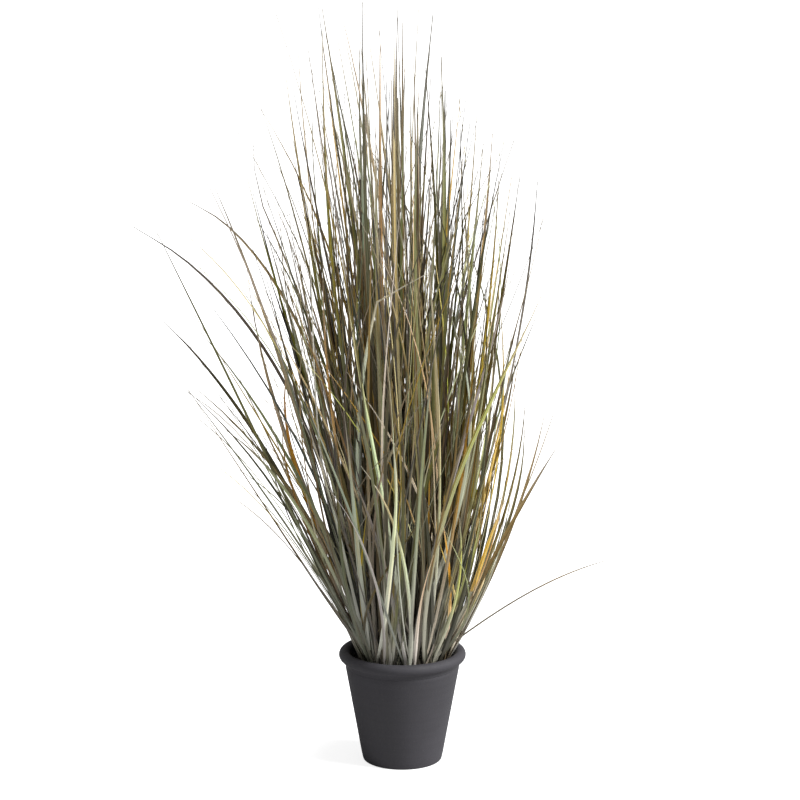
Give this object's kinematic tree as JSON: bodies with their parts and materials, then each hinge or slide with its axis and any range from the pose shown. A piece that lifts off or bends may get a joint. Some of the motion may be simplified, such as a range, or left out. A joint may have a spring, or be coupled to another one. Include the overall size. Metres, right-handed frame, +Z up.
{
  "type": "potted ornamental grass clump",
  "caption": "Clump of tall, narrow ornamental grass leaves arching out of a round, tapered charcoal pot with a rolled lip.",
  "frame": {"origin": "centre of the pot's flat base, on the ground", "axes": "+Z up along the pot's axis; the front of the plant faces -Y and its longest leaf arches out along -X"},
  "size_m": [0.6004, 0.6045, 0.9566],
  "materials": {
    "pot": "matte",
    "soil": "matte",
    "leaf_sage": "satin",
    "leaf_olive": "satin",
    "leaf_ochre": "satin"
  },
  "bodies": {
    "root": {"pot": "pot", "soil": "soil", "shoot_01": "leaf_sage", "shoot_02": "leaf_olive", "shoot_03": "leaf_ochre", "blade_01": "leaf_sage", "shoot_04": "leaf_olive", "shoot_05": "leaf_ochre", "shoot_06": "leaf_sage", "blade_02": "leaf_olive", "blade_03": "leaf_ochre", "blade_04": "leaf_sage", "shoot_07": "leaf_olive", "blade_05": "leaf_ochre", "shoot_08": "leaf_sage", "shoot_09": "leaf_olive", "blade_06": "leaf_ochre", "shoot_10": "leaf_sage", "shoot_11": "leaf_olive", "blade_07": "leaf_ochre", "blade_08": "leaf_sage", "shoot_12": "leaf_olive", "shoot_13": "leaf_ochre", "blade_09": "leaf_sage", "blade_10": "leaf_olive", "shoot_14": "leaf_ochre", "shoot_15": "leaf_sage", "blade_11": "leaf_olive", "blade_12": "leaf_ochre", "shoot_16": "leaf_sage", "shoot_17": "leaf_olive", "blade_13": "leaf_ochre", "blade_14": "leaf_sage", "shoot_18": "leaf_olive", "shoot_19": "leaf_ochre", "blade_15": "leaf_sage", "shoot_20": "leaf_olive", "blade_16": "leaf_ochre", "blade_17": "leaf_sage", "blade_18": "leaf_olive", "blade_19": "leaf_ochre", "blade_20": "leaf_sage", "blade_21": "leaf_olive", "blade_22": "leaf_ochre", "blade_23": "leaf_sage", "blade_24": "leaf_olive", "blade_25": "leaf_ochre", "blade_26": "leaf_sage", "blade_27": "leaf_olive", "blade_28": "leaf_ochre", "blade_29": "leaf_sage", "blade_30": "leaf_olive", "blade_31": "leaf_ochre", "blade_32": "leaf_sage", "blade_33": "leaf_olive", "blade_34": "leaf_ochre", "blade_35": "leaf_sage", "blade_36": "leaf_olive", "blade_37": "leaf_ochre", "blade_38": "leaf_sage"}
  },
  "joints": []
}
